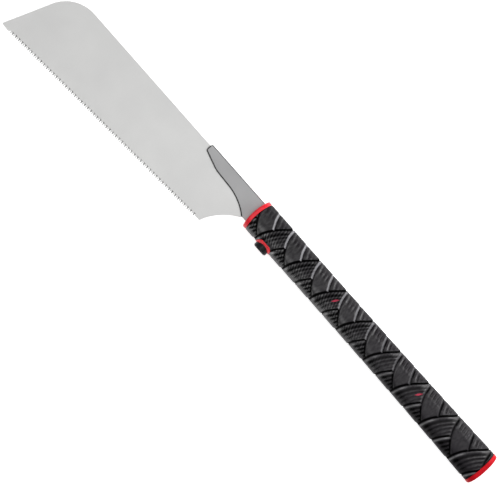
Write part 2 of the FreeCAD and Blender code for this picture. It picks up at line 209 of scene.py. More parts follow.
# Light: a glowing table, a large softbox overhead and a small one beside the grip
TABLE_GLOW = 0.88
ROOM_STOPS = ((0.05, 0.95), (0.15, 0.60), (0.48, 0.40), (0.68, 0.04))
OVERHEAD_PLACE = (-0.1, 0.1, 3.0)
OVERHEAD_SIZE = (3.0, 3.0)
OVERHEAD_RADIANCE = 1.0
KEY_PLACE = (0.25, 0.20, 0.16)
KEY_AIM = (0.06, 0.0, 0.0)
KEY_SIZE = (0.30, 0.24)
KEY_RADIANCE = 5.0


# ------------------------------------------------------------------ small helpers

def smooth_step(low, high, value):
    share = np.clip((value - low) / (high - low), 0, 1)
    return share * share * (3 - 2 * share)


def placed(points):
    """Points measured from the handle's axis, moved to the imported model's frame."""
    return np.asarray(points, float) + HANDLE_ORIGIN


def mesh_piece(name, points, faces, body, stands_for=()):
    mesh = bpy.data.meshes.new(name)
    mesh.from_pydata(placed(points).tolist(), [], faces)
    mesh.update()
    mesh.shade_smooth()
    piece = bpy.data.objects.new(name, mesh)
    bpy.context.scene.collection.objects.link(piece)
    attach(piece, body)
    if stands_for:
        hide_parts(*stands_for)
    return piece


def ring_faces(ring_count, ring_size, closed_length=False, offset=0):
    """Quads between neighbouring closed rings of points."""
    faces = []
    for ring in range(ring_count if closed_length else ring_count - 1):
        first = offset + ring * ring_size
        second = offset + (ring + 1) % ring_count * ring_size
        for place in range(ring_size):
            after = (place + 1) % ring_size
            faces.append((first + place, first + after, second + after, second + place))
    return faces


def point_outwards(piece):
    """Turn every face of a closed mesh to look outwards."""
    bpy.context.view_layer.objects.active = piece
    bpy.ops.object.select_all(action="DESELECT")
    piece.select_set(True)
    bpy.ops.object.mode_set(mode="EDIT")
    bpy.ops.mesh.select_all(action="SELECT")
    bpy.ops.mesh.normals_make_consistent(inside=False)
    bpy.ops.object.mode_set(mode="OBJECT")


def apply_modifiers(piece):
    depsgraph = bpy.context.evaluated_depsgraph_get()
    result = bpy.data.meshes.new_from_object(piece.evaluated_get(depsgraph))
    piece.modifiers.clear()
    piece.data = result


def carve(piece, points, faces):
    """Cut a closed mesh away from a piece."""
    mesh = bpy.data.meshes.new("cutter")
    mesh.from_pydata(placed(points).tolist(), [], faces)
    cutter = bpy.data.objects.new("cutter", mesh)
    bpy.context.scene.collection.objects.link(cutter)
    point_outwards(cutter)
    cut = piece.modifiers.new("cut", "BOOLEAN")
    cut.operation = "DIFFERENCE"
    cut.solver = "EXACT"
    cut.object = cutter
    bpy.context.view_layer.update()
    apply_modifiers(piece)
    bpy.data.objects.remove(cutter)


def prism(outline, direction):
    """Closed prism: an outline of 3-D points, pushed along a direction."""
    outline = np.asarray(outline, float)
    count = len(outline)
    points = np.vstack([outline, outline + np.asarray(direction)])
    faces = [tuple(range(count)), tuple(range(2 * count - 1, count - 1, -1))]
    for place in range(count):
        after = (place + 1) % count
        faces.append((place, after, count + after, count + place))
    return points, faces


# ------------------------------------------------------------------ the handle's section

def half_height(x):
    return WAIST_HALF_HEIGHT + FLARE_RADIUS - np.sqrt(FLARE_RADIUS ** 2 - (x - WAIST_X) ** 2)


def face_x(face, y):
    place, bulge, radius = face
    return place - bulge * (radius - np.sqrt(radius ** 2 - y ** 2))


def ring_places(flat_points, edge_points):
    """Slide along the flats (-1 to 1) and turn from the upper side, once round the section."""
    slide = np.linspace(-1, 1, flat_points, endpoint=False)
    turn = np.linspace(0, math.pi, edge_points, endpoint=False)
    slides = np.concatenate([slide, np.ones(edge_points), -slide, -np.ones(edge_points)])
    turns = np.concatenate([0 * slide, turn, 0 * slide + math.pi, turn + math.pi])
    return slides, turns


def section(x, slide, turn, inset):
    """(y, z) on the handle's surface, moved inwards by inset."""
    radius = HALF_THICKNESS - inset
    y = (half_height(x) - HALF_THICKNESS) * slide + radius * np.sin(turn)
    return y, radius * np.cos(turn)


def handle_slice(name, front, rear, inset, front_rounding, rear_rounding, body, slot, stands_for):
    """A closed slice of the handle between two curved faces, with rounded edges."""
    slides, turns = ring_places(20, 64)
    quarter = np.linspace(0, math.pi / 2, 7)
    steps = [(0, front, share, 0.0, front_rounding) for share in (0.25, 0.5, 0.75, 0.9)]
    steps += [(1, front, 1, front_rounding * (1 - math.cos(a)), front_rounding * (1 - math.sin(a)))
              for a in quarter]
    steps += [(-1, rear, 1, rear_rounding * (1 - math.cos(a)), rear_rounding * (1 - math.sin(a)))
              for a in quarter[::-1]]
    steps += [(0, rear, share, 0.0, rear_rounding) for share in (0.9, 0.75, 0.5, 0.25)]
    points = [(face_x(front, 0), 0, 0)]
    for way, face, share, shift, edge_inset in steps:
        y, z = section(face[0], slides, turns, inset + edge_inset)
        x = face_x(face, y * share) + way * shift
        points += list(zip(x, y * share, z * share))
    points.append((face_x(rear, 0), 0, 0))
    size = len(turns)
    faces = ring_faces(len(steps), size, offset=1)
    last = len(points) - 1
    for place in range(size):
        after = (place + 1) % size
        faces.append((0, 1 + after, 1 + place))
        faces.append((last, last - size + place, last - size + after))
    piece = mesh_piece(name, points, faces, body, stands_for)
    point_outwards(piece)
    return piece


# ------------------------------------------------------------------ the rubber grip

def polynomial(coefficients, value):
    return sum(coefficient * value ** power for power, coefficient in enumerate(coefficients))


def place_to_turn(x):
    turns = np.linspace(-2, 10, 2401)
    return np.interp(x, polynomial(TURN_TO_PLACE, turns), turns)


def wave(place, pitch):
    """From 0 to 1 and back over each pitch."""
    return 0.5 - 0.5 * np.cos(2 * math.pi * place / pitch)


def falling_profile(from_start, crest, width, height):
    """Depth of a smooth strap with ribs on its upper half."""
    rise = np.clip(from_start / crest, 0, 1)
    front = WALL_DEPTH + (CREST_DEPTH - WALL_DEPTH) * np.sqrt(1 - (1 - rise) ** 2)
    beyond = np.maximum(from_start - crest, 0)
    lean = CREST_DEPTH * (1 - np.clip(beyond / np.maximum(width - crest, 1), 0, 1))
    groove = wave(beyond, RIB_PITCH) ** 1.5
    rib_share = smooth_step(*RIB_RISE, height) * (1 - smooth_step(*RIB_FADE, height))
    ribbed = lean + RIB_DEPTH * groove * rib_share
    return np.where(from_start < crest, front, ribbed)


def rising_profile(from_start, half_period, width, passes_under):
    """Depth of a strap of four cords, its cord number, and the depth of the strap's own level."""
    place = (from_start + WALL_FOOT) / half_period
    cord = np.interp(place, CORD_PLACES, CORD_PHASES)
    level = CORD_LEAN * (1 - np.clip(place, 0, 1))
    level = np.where(passes_under, CORD_LEAN * (1 + np.clip(from_start / width, 0, 1)), level)
    first_rise = 1 - np.sqrt(np.clip(1 - (1 - 2 * cord) ** 2, 0, 1))
    groove = np.abs(np.cos(math.pi * cord)) ** 1.6
    depth = np.where(cord < 0.5, level + (WALL_DEPTH - level) * first_rise,
                     level + GROOVE_DEPTH * groove)
    return depth, np.floor(cord), level


def wrap_relief(x, height, along):
    """Depth of the moulded wrap below the grip's surface, and the masks that the material uses for painted
    shade, painted highlights and painted sheen.
    """
    number = np.floor(place_to_turn(x - WALL_FOOT) - polynomial(RISING_LINE, height))

    def line(coefficients, turns_on=0):
        return polynomial(TURN_TO_PLACE, number + turns_on + polynomial(coefficients, height))

    rising, next_rising = line(RISING_LINE) + WALL_FOOT, line(RISING_LINE, 1) + WALL_FOOT
    falling = np.minimum(line(FALLING_LINE) + WALL_FOOT, next_rising)
    lower = np.where(height < LOWER_LIMIT, line(LOWER_RISING_LINE) + WALL_FOOT, falling)
    lower = np.minimum(lower, falling)
    upper = np.where(height > UPPER_LIMIT, line(UPPER_FALLING_LINE) + WALL_FOOT, next_rising)
    upper = np.minimum(upper, next_rising)

    # Which strap lies here, and how far it is to the lines where it starts and ends
    on_upper, on_falling, on_lower = x >= upper, x >= falling, x >= lower
    places = [on_upper, on_falling, on_lower]
    start = np.select(places, [upper, falling, lower], rising)
    end = np.select(places, [next_rising, upper, falling], lower)
    from_start, to_end, width = x - start, end - x, np.maximum(end - start, 0.5)
    crest = np.where(on_upper, CREST_GAP,
                     np.clip(line(FALLING_CREST) - falling, LEAST_CREST_GAP, CREST_GAP))

    # The strap's own form, which ends in a wall unless it passes under the next strap
    is_smooth = on_falling | on_upper
    passes_under = on_lower & ~is_smooth
    half_period = (next_rising - rising) / 2
    corded_depth, cord, level = rising_profile(from_start, half_period, width, passes_under)
    depth = np.where(is_smooth, falling_profile(from_start, crest, width, height), corded_depth)
    fall = np.where(passes_under, 0, np.clip(1 - to_end / WALL_WIDTH, 0, 1))
    depth = depth * (1 - EDGE_FADE_SHARE * smooth_step(*EDGE_FADE, np.abs(height)))
    depth = np.maximum(depth, WALL_DEPTH * fall)
    # lit_wall marks the walls that face the key lamp, for a painted highlight; the other walls and the strip
    # under the next strap (shade) form a mask for painted shade.
    ends_at_falling = (is_smooth & (upper < next_rising) & ~on_upper) | ~(is_smooth | (lower < falling))
    lit_wall = np.where(ends_at_falling & ~passes_under, fall, 0)
    shade = np.where(passes_under, np.clip(1 - to_end / SHADE_WIDTH, 0, 1), 0)

    # Fine patterns: beads and weave where the handle turns away, twisted strands on the cords
    rim = np.exp(-((from_start - np.where(is_smooth, crest, RIM_PLACE)) / RIM_WIDTH) ** 2)
    # Painted highlight on the rims of the lower half, towards the butt.
    rim_highlight = rim * smooth_step(*RIM_HIGHLIGHT_START, x) * smooth_step(*RIM_HIGHLIGHT_HEIGHT, -height)
    open_ground = 1 - smooth_step(0, WALL_SHARE, fall)
    woven = smooth_step(*WEAVE_HEIGHT, height) * smooth_step(*WEAVE_START, x)
    beads = np.where(is_smooth, woven, smooth_step(*BEAD_HEIGHT, -height))
    beads = beads * open_ground * (1 - rim) * (1 - smooth_step(*BEAD_FADE, np.abs(height)))
    across = np.where(is_smooth, np.floor(from_start / WEAVE_PITCH), cord)
    bead_wave = wave(along / BEAD_PITCH + across / 2, 1)
    bead_wave = np.where(is_smooth, np.maximum(bead_wave, wave(from_start, WEAVE_PITCH)), bead_wave)
    twist = np.where(is_smooth, 0, 1 - smooth_step(*STRAND_HEIGHT, -height))
    twist = twist * open_ground * (1 - rim_highlight) * (1 - smooth_step(*STRAND_FADE, x))
    strand_wave = wave(along + from_start, STRAND_PITCH)
    depth = depth + BEAD_DEPTH * beads * bead_wave + STRAND_DEPTH * twist * strand_wave

    # Painted light: highlight on the lit walls, and specular strength along and across the handle as painted
    # sheen
    # Painted sheen: the rims' specular strength fades towards the butt.
    strap_rim = rim * (1 - RIM_FADE_SHARE * smooth_step(*RIM_FADE, x))
    # Painted highlight on the walls that face the key lamp, fading towards the butt.
    painted_wall_highlight = smooth_step(0, WALL_SHARE, lit_wall) * np.interp(x, WALL_HIGHLIGHT_PLACES, WALL_HIGHLIGHT_SHARES)
    # Painted sheen: specular strength falls towards the butt, and is raised on the lower half at the front
    # and on the upper edge at the butt, standing in for how the light falls along the handle.
    shine = np.where(is_smooth, np.interp(x, PAINTED_SHEEN_PLACES, STRAP_SHINE_AND_PAINTED_SHEEN),
                     np.interp(x, PAINTED_SHEEN_PLACES, CORD_SHINE_AND_PAINTED_SHEEN))
    shine = shine * (
        1 + np.interp(x, PAINTED_SHEEN_PLACES, LOWER_PAINTED_SHEEN) * smooth_step(*LOWER_PAINTED_SHEEN_HEIGHT, -height)
        + np.interp(x, PAINTED_SHEEN_PLACES, UPPER_PAINTED_SHEEN) * smooth_step(*UPPER_PAINTED_SHEEN_HEIGHT, height))
    # The material paints shade from sunk (deep grooves, less where a strap passes under the next) and from
    # the wall masks.
    return depth, {
        "sunk": depth - np.where(passes_under, SUNK_SHARE * level, 0),
        "shine": shine,
        "rim": np.where(is_smooth, strap_rim, rim_highlight),
        "rim_highlight": np.where(is_smooth, 0, rim_highlight),
        "lit_wall": lit_wall,
        "painted_wall_highlight": painted_wall_highlight * smooth_step(*COLLAR_FADE, x),
        "shaded_wall": fall - lit_wall + shade,
        "marks": beads * bead_wave + twist * strand_wave,
    }


def make_grip():
    """The rubber sleeve: a ring mesh whose outer skin carries the wrap's relief."""
    slides, turns = ring_places(FLAT_POINTS, EDGE_POINTS)
    length_steps = int((CAP_FRONT[0] - COLLAR_REAR[0]) / LENGTH_STEP)
    share = np.linspace(0, 1, length_steps)[:, None]
    slide = np.broadcast_to(slides, (length_steps, len(slides)))
    turn = np.broadcast_to(turns, slide.shape)

    def surface(inset):
        x = np.broadcast_to(share * CAP_FRONT[0], turn.shape)
        for _ in range(3):
            y, z = section(x, slide, turn, inset)
            x = face_x(COLLAR_REAR, y) * (1 - share) + face_x(CAP_FRONT, y) * share
        return np.stack([x, y, z], axis=-1)

    outer = surface(0.0)
    side = np.where(np.cos(turn) >= 0, 1, -1)
    height = side * outer[..., 1] / half_height(outer[..., 0])
    along = side * (slide * (WAIST_HALF_HEIGHT - HALF_THICKNESS)
                    + HALF_THICKNESS * np.arcsin(np.sin(turn))) / MM
    depth, relief = wrap_relief(outer[..., 0] / MM, height, along)
    # edge: how far the section has turned to the side; the material cuts specular strength there, painted
    # shade that keeps the rounded edges dark.
    relief["edge"] = np.abs(np.sin(turn))
    from_bezel = np.maximum(np.abs(outer[..., 0] - CLAMP_X) - BEZEL_HALF_LENGTH,
                            np.abs(outer[..., 2]) - BEZEL_HALF_WIDTH) / MM
    on_pad = (1 - smooth_step(*BEZEL_PAD, from_bezel)) * (outer[..., 1] < 0)
    depth = depth * (1 - BEZEL_PAD_SHARE * on_pad)
    end_distance = np.minimum(share, 1 - share) * CAP_FRONT[0]
    depth = depth + END_ROUNDING * (1 - smooth_step(0, END_REACH, end_distance))
    normal = np.stack([np.zeros(turn.shape), np.sin(turn), np.cos(turn)], axis=-1)
    outer = outer - normal * depth[..., None] * MM

    inner = surface(RUBBER)[np.linspace(0, length_steps - 1, INNER_RINGS).astype(int)][::-1]
    size = len(turns)
    points = np.vstack([outer.reshape(-1, 3), inner.reshape(-1, 3)])
    faces = ring_faces(length_steps + len(inner), size, closed_length=True)
    piece = mesh_piece("grip", points, faces, "handle", ("grip_sleeve",))
    inner_zeros = np.zeros(inner.shape[0] * size)
    for name, values in relief.items():
        attribute = piece.data.attributes.new(name, "FLOAT", "POINT")
        attribute.data.foreach_set("value", np.concatenate([values.ravel(), inner_zeros]))
    point_outwards(piece)
    return piece


def circle(radius, count):
    angles = np.linspace(0, 2 * math.pi, count, endpoint=False)
    return radius * np.cos(angles), radius * np.sin(angles)


def rounded_square(inset, count):
    """(x, z) round the bezel's outline, moved inwards by inset."""
    half_x, half_z, corner = (size - inset for size in (BEZEL_HALF_LENGTH, BEZEL_HALF_WIDTH, BEZEL_CORNER))
    centre_x, centre_z = half_x - corner, half_z - corner
    angles = np.linspace(0, 2 * math.pi, count, endpoint=False)
    way_x, way_z = np.abs(np.cos(angles)) + 1e-9, np.abs(np.sin(angles)) + 1e-9
    towards = way_x * centre_x + way_z * centre_z
    to_corner = towards + np.sqrt(np.maximum(
        towards ** 2 - centre_x ** 2 - centre_z ** 2 + corner ** 2, 0))
    reach = np.where(half_x / way_x * way_z <= centre_z, half_x / way_x,
                     np.where(half_z / way_z * way_x <= centre_x, half_z / way_z, to_corner))
    return reach * np.cos(angles), reach * np.sin(angles)


def cut_knob_hole(grip):
    """The seat of the bezel, cut from below up to the bezel's inner face."""
    x, z = rounded_square(0.0, 96)
    below = -26 * MM
    outline = np.stack([CLAMP_X + x, np.full(x.shape, below), z], axis=-1)
    points, faces = prism(outline, (0, BEZEL_SEAT - below, 0))
    carve(grip, points, faces)


def cut_windows(grip):
    """Two slanted lens-shaped windows on each flat side."""
    sag = WINDOW_WIDTH / 2
    half = WINDOW_LENGTH / 2
    radius = (half ** 2 + sag ** 2) / (2 * sag)
    along = np.linspace(-half, half, 17)
    bow = np.sqrt(radius ** 2 - along ** 2) - (radius - sag)
    lens = np.concatenate([np.stack([along, bow], axis=-1),
                           np.stack([along[-2:0:-1], -bow[-2:0:-1]], axis=-1)])
    turned_x = lens[:, 0] * math.cos(WINDOW_TILT) - lens[:, 1] * math.sin(WINDOW_TILT)
    turned_y = lens[:, 0] * math.sin(WINDOW_TILT) + lens[:, 1] * math.cos(WINDOW_TILT)
    for place_x, place_y in WINDOW_PLACES:
        for side in (1, -1):
            outline = np.stack([place_x + turned_x, side * (place_y + turned_y),
                                np.full(turned_x.shape, side * 5 * MM)], axis=-1)
            points, faces = prism(outline, (0, 0, side * 12 * MM))
            carve(grip, points, faces)


# ------------------------------------------------------------------ clamp knob and its bezel

def bezel_top(x, z):
    """Height of the bezel's face, which follows the rounded edge of the handle."""
    rounding = HALF_THICKNESS + BEZEL_PROUD
    return HALF_THICKNESS - half_height(x) - np.sqrt(rounding ** 2 - z ** 2)


def make_bezel():
    count = 128
    soft = BEZEL_ROUNDING
    floor = BEZEL_SEAT - BEZEL_FLOOR
    outer = rounded_square(0.0, count)
    bowl, bore = circle(BEZEL_BOWL_RADIUS, count), circle(BEZEL_BORE, count)
    profile = [(outer, BEZEL_SEAT, False), (outer, soft, True)]
    for share in (0.3, 0.6, 0.85, 1.0):
        turn = share * math.pi / 2
        ring = rounded_square(soft * (1 - math.cos(turn)), count)
        profile.append((ring, soft * (1 - math.sin(turn)), True))
    for share in (1.0, 0.7, 0.4):
        turn = share * math.pi / 2
        ring = circle(BEZEL_BOWL_RADIUS + soft * (1 - math.cos(turn)), count)
        profile.append((ring, soft * (1 - math.sin(turn)), True))
    profile += [(bowl, soft, True), (bowl, floor, False), (bore, floor, False), (bore, BEZEL_SEAT, False)]
    points = []
    for (x, z), level, on_top in profile:
        x = CLAMP_X + x
        y = bezel_top(x, z) + level if on_top else np.full(x.shape, level)
        points += list(zip(x, y, z))
    faces = ring_faces(len(profile), count, closed_length=True)
    piece = mesh_piece("bezel_ring", points, faces, "handle", ("knob_bezel",))
    point_outwards(piece)
    return piece


def make_knob():
    """A turned profile of (radius, height, share of the flutes' depth)."""
    count = 288
    angles = np.linspace(0, 2 * math.pi, count, endpoint=False)
    flute = np.clip(np.cos(FLUTE_COUNT * (angles - math.pi / FLUTE_COUNT)), 0, 1) ** 0.8
    edge = KNOB_ROUNDING
    side_end = KNOB_FACE + KNOB_CHAMFER
    profile = [(SCREW_RADIUS, SCREW_HEAD, 0), (SCREW_RADIUS, KNOB_INNER, 0),
               (KNOB_RADIUS - edge, KNOB_INNER, 0), (KNOB_RADIUS - 0.3 * edge, KNOB_INNER - 0.3 * edge, 0),
               (KNOB_RADIUS, KNOB_INNER - edge, 0), (KNOB_RADIUS, FLUTE_START + 0.3 * MM, 0)]
    profile += [(KNOB_RADIUS, FLUTE_START - 0.15 * MM * step, math.sin(step * math.pi / 12))
                for step in range(0, 7)]
    profile += [(KNOB_RADIUS, side_end + 0.5 * MM, 1), (KNOB_RADIUS - 0.03 * MM, side_end + 0.15 * MM, 1)]
    slope = KNOB_RADIUS - KNOB_FACE_RADIUS
    profile += [(KNOB_RADIUS - slope * share - 0.06 * MM, side_end - KNOB_CHAMFER * share ** 1.15, 1 - share)
                for share in (0.08, 0.3, 0.6, 0.85)]
    profile += [(KNOB_FACE_RADIUS - 0.15 * MM, KNOB_FACE + 0.04 * MM, 0),
                (KNOB_FACE_RADIUS - 0.5 * MM, KNOB_FACE, 0),
                (DISH_RADIUS + 0.2 * MM, KNOB_FACE + 0.25 * DISH_DEPTH, 0),
                (DISH_RADIUS - 0.2 * MM, KNOB_FACE + 0.9 * DISH_DEPTH, 0),
                (DISH_CENTRE, KNOB_FACE + DISH_DEPTH, 0)]
    points = []
    for radius, y, share in profile:
        reach = radius - FLUTE_DEPTH * flute * share
        points += list(zip(CLAMP_X + reach * np.cos(angles), np.full(count, y), reach * np.sin(angles)))
    faces = ring_faces(len(profile), count)
    faces.append(tuple(range(count)))
    faces.append(tuple(range(len(points) - 1, len(points) - count - 1, -1)))
    piece = mesh_piece("fluted_knob", points, faces, "knob", ("clamp_knob",))
    point_outwards(piece)
    length, width, depth = COIN_SLOT
    outline = [(CLAMP_X + x * length / 2, KNOB_FACE - MM, z * width / 2)
               for x, z in ((-1, -1), (1, -1), (1, 1), (-1, 1))]
    points, faces = prism(outline, (0, MM + depth, 0))
    carve(piece, points, faces)
    return piece


def make_collar():
    """The front ring, with the slot that the blade holder comes through."""
    collar = handle_slice("collar_ring", COLLAR_FRONT, COLLAR_REAR, END_INSET, *COLLAR_ROUNDING,
                          "handle", "red_plastic", ("front_collar",))
    low = np.array(holder_low) - HANDLE_ORIGIN - HOLDER_GAP
    high = np.array(holder_high) - HANDLE_ORIGIN + HOLDER_GAP
    reach = 12 * MM
    outline = [(-reach, low[1], low[2]), (-reach, high[1], low[2]), (-reach, high[1], high[2]),
               (-reach, low[1], high[2])]
    points, faces = prism(outline, (2 * reach, 0, 0))
    carve(collar, points, faces)
    return collar


def make_cap():
    return handle_slice("butt_plate", CAP_FRONT, CAP_REAR, END_INSET, *CAP_ROUNDING,
                        "handle", "red_plastic", ("butt_cap",))


# ------------------------------------------------------------------ materials

# The colour socket among the outputs of a Mix node
MIX_COLOR = 2


class Nodes:
    """A small hand for building one node material."""

    def __init__(self, name):
        self.material = bpy.data.materials.new(name)
        self.material.use_nodes = True
        self.tree = self.material.node_tree
        self.tree.nodes.clear()
        self.output = self.add("ShaderNodeOutputMaterial")
        self.shader = self.add("ShaderNodeBsdfPrincipled")
        self.link(self.shader, "BSDF", self.output, "Surface")

    def add(self, kind, **values):
        node = self.tree.nodes.new(kind)
        for key, value in values.items():
            if key in node.inputs:
                node.inputs[key].default_value = value
            else:
                setattr(node, key, value)
        return node

    def link(self, source, output, target, name):
        self.tree.links.new(source.outputs[output], target.inputs[name])

    def place(self, scale=(1, 1, 1)):
        """Object coordinates in metres, stretched by scale."""
        coordinates = self.add("ShaderNodeTexCoord")
        mapping = self.add("ShaderNodeMapping")
        mapping.inputs["Scale"].default_value = scale
        self.link(coordinates, "Object", mapping, "Vector")
        return mapping

    def noise(self, scale, stretch=(1, 1, 1), detail=3.0, roughness=0.55):
        node = self.add("ShaderNodeTexNoise")
        node.inputs["Scale"].default_value = scale
        node.inputs["Detail"].default_value = detail
        node.inputs["Roughness"].default_value = roughness
        self.link(self.place(stretch), "Vector", node, "Vector")
        return node

    def ramp(self, source, output, stops):
        node = self.add("ShaderNodeValToRGB")
        elements = node.color_ramp.elements
        while len(elements) < len(stops):
            elements.new(0.5)
        for element, (position, color) in zip(elements, stops):
            element.position = position
            element.color = color if len(color) == 4 else (*color, 1)
        self.link(source, output, node, "Fac")
        return node

    def remap(self, source, output, low, high, to_low, to_high):
        node = self.add("ShaderNodeMapRange")
        for name, value in (("From Min", low), ("From Max", high), ("To Min", to_low), ("To Max", to_high)):
            node.inputs[name].default_value = value
        self.link(source, output, node, "Value")
        return node

    def bump(self, source, output, strength, distance):
        node = self.add("ShaderNodeBump")
        node.inputs["Strength"].default_value = strength
        node.inputs["Distance"].default_value = distance
        self.link(source, output, node, "Height")
        return node

    def math(self, operation, first, first_output, second, second_output=None):
        node = self.add("ShaderNodeMath")
        node.operation = operation
        self.tree.links.new(first.outputs[first_output], node.inputs[0])
        if second_output is None:
            node.inputs[1].default_value = second
        else:
            self.tree.links.new(second.outputs[second_output], node.inputs[1])
        return node

    def mix(self, factor, factor_output, first, first_output, color):
        """From a socket's colour to a fixed one, by a factor."""
        node = self.add("ShaderNodeMix")
        node.data_type = "RGBA"
        self.link(factor, factor_output, node, "Factor")
        color_inputs = [socket for socket in node.inputs if socket.type == "RGBA"]
        self.tree.links.new(first.outputs[first_output], color_inputs[0])
        color_inputs[1].default_value = (*color, 1)
        return node


def steel(name, dark, light, roughness, stretch, line_scale, line_strength, contact_shade_depth=0.0,
          painted_edge_shade=False):
    """Ground or brushed steel with fine lines; stretch sets which way they run, contact_shade_depth how far
    painted contact shade (ambient occlusion) reaches from pieces that rest on it, and painted_edge_shade
    paints shade on every face that is not upright."""
    nodes = Nodes(name)
    lines = nodes.noise(line_scale, stretch, detail=5.0, roughness=0.7)
    clouds = nodes.noise(18.0, detail=2.0)
    blend = nodes.math("ADD", lines, "Fac", clouds, "Fac")
    color = nodes.ramp(nodes.remap(blend, "Value", 0.6, 1.4, 0, 1), "Result", ((0.0, dark), (1.0, light)))
    color_output = 0
    if contact_shade_depth:
        # Painted contact shade: ambient occlusion darkens the steel where another piece rests close on it.
        contact_shade = nodes.add("ShaderNodeAmbientOcclusion", samples=8, Distance=contact_shade_depth)
        shade = nodes.remap(contact_shade, "AO", 0.62, 0.92, 1, 0)
        color = nodes.mix(shade, "Result", color, color_output, PAINTED_SHADE_COLOR)
        color_output = MIX_COLOR
    # Painted shade: faces that are not upright, the edge faces and their bevels, are darkened.
    if painted_edge_shade:
        axes = nodes.add("ShaderNodeSeparateXYZ")
        nodes.link(nodes.add("ShaderNodeTexCoord"), "Normal", axes, "Vector")
        upright = nodes.math("ABSOLUTE", axes, "Z", 0.0)
        shade = nodes.remap(upright, "Value", 0.80, 0.97, 1, 0)
        color = nodes.mix(shade, "Result", color, color_output, PAINTED_SHADE_COLOR)
        color_output = MIX_COLOR
    nodes.link(color, color_output, nodes.shader, "Base Color")
    nodes.shader.inputs["Metallic"].default_value = 1.0
    rough = nodes.remap(lines, "Fac", 0.3, 0.7, roughness - 0.06, roughness + 0.08)
    nodes.link(rough, "Result", nodes.shader, "Roughness")
    bump = nodes.bump(lines, "Fac", line_strength, 0.0002)
    nodes.link(bump, "Normal", nodes.shader, "Normal")
    return nodes.material


def moulded_plastic(name, dark, light, roughness, texture_depth, shine=0.5):
    """Moulded plastic with a faint cloud of colour and a fine skin texture."""
    nodes = Nodes(name)
    nodes.shader.inputs["Specular IOR Level"].default_value = shine
    clouds = nodes.noise(60.0, detail=4.0)
    color = nodes.ramp(clouds, "Fac", ((0.3, dark), (0.7, light)))
    nodes.link(color, "Color", nodes.shader, "Base Color")
    fine = nodes.noise(1500.0, detail=2.0)
    rough = nodes.remap(clouds, "Fac", 0.3, 0.7, roughness - 0.04, roughness + 0.05)
    nodes.link(rough, "Result", nodes.shader, "Roughness")
    bump = nodes.bump(fine, "Fac", 0.25, texture_depth)
    nodes.link(bump, "Normal", nodes.shader, "Normal")
    return nodes.material


def wrapped_rubber():
    """Black rubber with painted light: nearly black in the grooves and walls (painted shade), shinier on
    rims, painted highlights on lit walls and lower rims, and dull round the edges, where specular strength
    is cut as painted shade.
    """
    dark, light = (0.013, 0.0115, 0.0135), (0.020, 0.018, 0.021)
    hollow_shade_color, wall_highlight_color, rim_highlight_color = (0.001, 0.001, 0.0011), (0.24, 0.235, 0.25), (0.11, 0.107, 0.112)
    nodes = Nodes("grip_rubber_wrap")
    rim, rim_highlight, lit_wall, painted_wall_highlight, shaded_wall, sunk, marks, edge, shine = (
        nodes.add("ShaderNodeAttribute", attribute_name=name)
        for name in ("rim", "rim_highlight", "lit_wall", "painted_wall_highlight", "shaded_wall", "sunk", "marks", "edge", "shine"))
    clouds = nodes.noise(45.0, detail=5.0)
    base = nodes.ramp(clouds, "Fac", ((0.3, dark), (0.7, light)))
    # Painted shade: deep grooves and the walls that face away from the key lamp are darkened to near black,
    # and their specular strength is cut.
    groove = nodes.remap(sunk, "Fac", 0.55, 1.15, 0, 1)
    black = nodes.remap(shaded_wall, "Fac", 0.08, 0.3, 0, 1)
    painted_hollow_shade = nodes.math("MAXIMUM", groove, "Result", black, "Result")
    color = nodes.mix(painted_hollow_shade, "Value", base, "Color", hollow_shade_color)
    # Painted highlight: a pale grey on the walls that face the key lamp.
    color = nodes.mix(painted_wall_highlight, "Fac", color, MIX_COLOR, wall_highlight_color)
    # Painted highlight on those rims.
    color = nodes.mix(rim_highlight, "Fac", color, MIX_COLOR, rim_highlight_color)
    nodes.link(color, MIX_COLOR, nodes.shader, "Base Color")

    wall = nodes.remap(lit_wall, "Fac", 0.0, 0.3, 0, 1)
    rough = nodes.remap(wall, "Result", 0, 1, 0.36, 0.52)
    nodes.link(rough, "Result", nodes.shader, "Roughness")
    # Specular strength from the rims, the lit-wall highlight and shine, which carry painted sheen.
    bright = nodes.math("MAXIMUM", rim, "Fac", painted_wall_highlight, "Fac")
    polish = nodes.math("MAXIMUM", bright, "Value", shine, "Fac")
    strands = nodes.noise(430.0, (1.0, 0.5, 1.0), detail=4.0)
    # Specular strength is cut on the beads and strands, round the edges (painted shade) and in the grooves
    # (painted shade).
    for source, low, high, least in ((marks, 0, 1, 0.2), (edge, 0.75, 0.97, 0.1), (painted_hollow_shade, 0, 1, 0.02),
                                     (strands, 0.4, 0.62, 0.55)):
        share = nodes.remap(source, 0, low, high, 1.0, least)
        polish = nodes.math("MULTIPLY", polish, "Value", share, "Result")
    nodes.link(polish, "Value", nodes.shader, "Specular IOR Level")
    bump = nodes.bump(strands, "Fac", 0.6, 0.0004)
    nodes.link(bump, "Normal", nodes.shader, "Normal")
    return nodes.material


def soften_edges(piece, width):
    """Round the cut edges of a sheet-metal node, without a change to its mesh."""
    weld = piece.modifiers.new("weld", "WELD")
    weld.merge_threshold = 0.01 * MM
    bevel = piece.modifiers.new("soft_edges", "BEVEL")
    bevel.width = width
    bevel.segments = 3
    bevel.limit_method = "ANGLE"
    bevel.angle_limit = math.radians(50)
    bevel.use_clamp_overlap = True


def wear(piece, material):
    piece.data.materials.clear()
    piece.data.materials.append(material)


# ------------------------------------------------------------------ stage, light and camera

